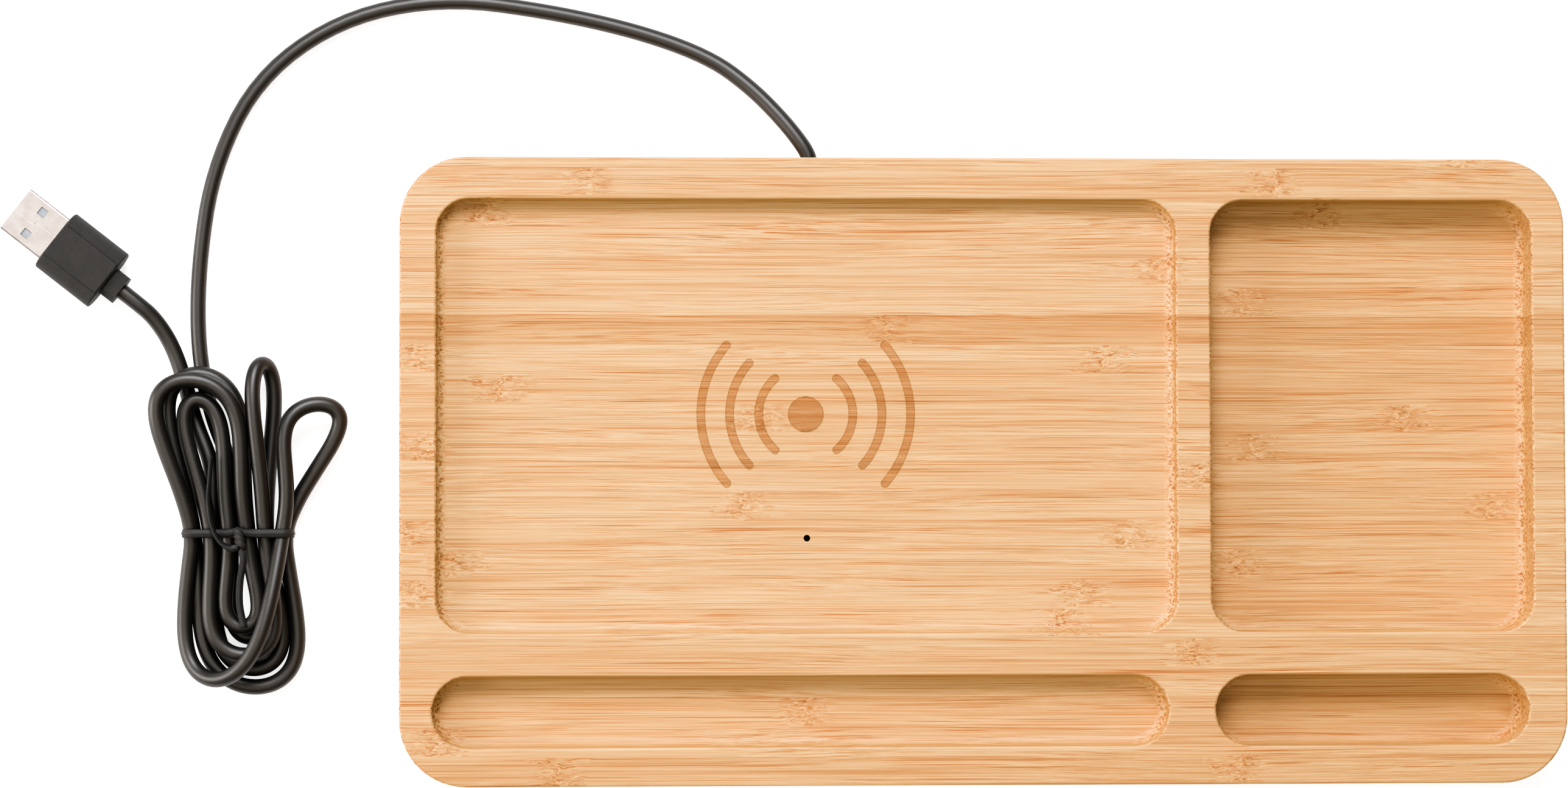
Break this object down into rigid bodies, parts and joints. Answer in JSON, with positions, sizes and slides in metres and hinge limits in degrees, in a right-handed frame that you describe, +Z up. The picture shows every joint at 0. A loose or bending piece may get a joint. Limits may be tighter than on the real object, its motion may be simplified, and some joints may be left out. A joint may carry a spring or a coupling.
{
  "type": "charging station organizer",
  "caption": "Flat bamboo desk tray with milled pockets for a phone, small things, pens and cards, a wireless charger under its largest pocket, and a tied cord with a USB plug.",
  "frame": {"origin": "middle of the tray's outline, at the level of the desk that its feet stand on", "axes": "+X along the tray's length towards the deep bin, +Y to the back edge where the cord leaves, +Z up"},
  "size_m": [0.3759, 0.1912, 0.02],
  "materials": {
    "bamboo": "satin lacquer",
    "foot_rubber": "matte",
    "cover_plastic": "matte",
    "screw_steel": "plated",
    "board_laminate": "solder mask",
    "chip_resin": "matte",
    "capacitor_ceramic": "fired",
    "led_resin": "clear",
    "ferrite": "sintered",
    "coil_wire": "enamelled copper",
    "foam": "matte",
    "cord_rubber": "matte",
    "cord_sheath": "satin",
    "wire_sheath": "smooth",
    "tie_plastic": "satin",
    "plug_plastic": "fine grain",
    "plug_steel": "nickel",
    "tongue_plastic": "moulded",
    "contact_gold": "gold plated"
  },
  "bodies": {
    "root": {"tray_body": "bamboo", "foot_back_left": "foot_rubber", "foot_back_right": "foot_rubber", "foot_front_left": "foot_rubber", "foot_front_right": "foot_rubber", "charger_cover": "cover_plastic", "cover_screws": "screw_steel", "circuit_board": "board_laminate", "board_screws": "screw_steel", "controller_chip": "chip_resin", "bridge_chips": "chip_resin", "resonant_capacitors": "capacitor_ceramic", "input_capacitors": "capacitor_ceramic", "indicator_led": "led_resin", "ferrite_shield": "ferrite", "charging_coil": "coil_wire", "coil_leads": "coil_wire", "coil_pad": "foam", "cord_grommet": "cord_rubber", "cord_clamp": "cover_plastic", "clamp_screws": "screw_steel", "inner_cord": "cord_sheath", "power_wires": "wire_sheath", "cord_lead": "cord_sheath", "cord_hank": "cord_sheath", "cord_tail": "cord_sheath", "hank_tie": "tie_plastic", "plug_overmould": "plug_plastic", "plug_shell": "plug_steel", "plug_tongue": "tongue_plastic", "plug_contacts": "contact_gold"}
  },
  "joints": []
}
